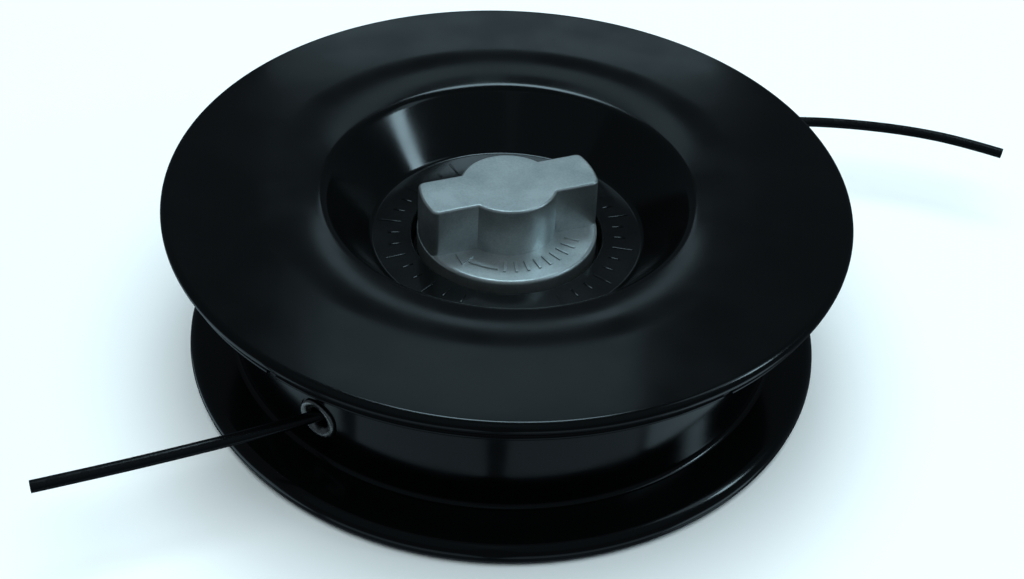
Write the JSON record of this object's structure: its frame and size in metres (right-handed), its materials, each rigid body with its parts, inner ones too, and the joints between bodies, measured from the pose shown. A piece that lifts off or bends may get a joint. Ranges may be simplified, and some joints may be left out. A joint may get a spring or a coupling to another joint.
{
  "type": "string trimmer line head",
  "caption": "Manual-feed string trimmer head: flanged drum with line eyelets, dished cover that turns the line spool, and a wing knob in its bowl.",
  "frame": {"origin": "centre of the underside, on the surface the head stands on", "axes": "+Z along the head's axis towards the bowl and the knob; the front eyelet is 36 degrees from -Y towards -X"},
  "size_m": [0.2037, 0.14, 0.04],
  "materials": {
    "moulded_black": "satin-gloss moulded glass-filled nylon",
    "nylon_line": "glossy extruded nylon monofilament",
    "cast_aluminium": "tumbled die casting",
    "zinc_steel": "turned and zinc plated",
    "spring_steel": "oiled spring wire",
    "nickel": "satin nickel plate"
  },
  "bodies": {
    "housing": {"housing": "moulded_black", "arbor": "zinc_steel", "arbor_clip": "spring_steel", "eyelet_front": "nickel", "eyelet_rear": "nickel", "line_lead_front": "nylon_line", "line_lead_rear": "nylon_line", "line_tail_front": "nylon_line", "line_tail_rear": "nylon_line", "release_spring": "spring_steel"},
    "lifter": {"spring_washer": "zinc_steel", "thrust_washer": "zinc_steel"},
    "reel": {"cover": "moulded_black", "spool": "moulded_black", "line_winding_lower": "nylon_line", "line_winding_upper": "nylon_line"},
    "knob": {"knob": "cast_aluminium", "knob_insert": "zinc_steel"}
  },
  "joints": [
    {"name": "lift", "type": "slide", "parent": "housing", "child": "lifter", "axis": [0, 0, 1], "range_m": [0, 0.00375], "deforming": ["release_spring"]},
    {"name": "reel_turn", "type": "hinge", "parent": "lifter", "child": "reel", "pos_m": [0, 0, 0.02], "axis": [0, 0, 1], "continuous": true},
    {"name": "knob_turn", "type": "hinge", "parent": "lifter", "child": "knob", "pos_m": [0, 0, 0.03], "axis": [0, 0, 1], "range_deg": [-1080, 0]}
  ],
  "couplings": [
    {"joint": "knob_turn", "follows": "lift", "rad_per_m": -5026.5}
  ]
}
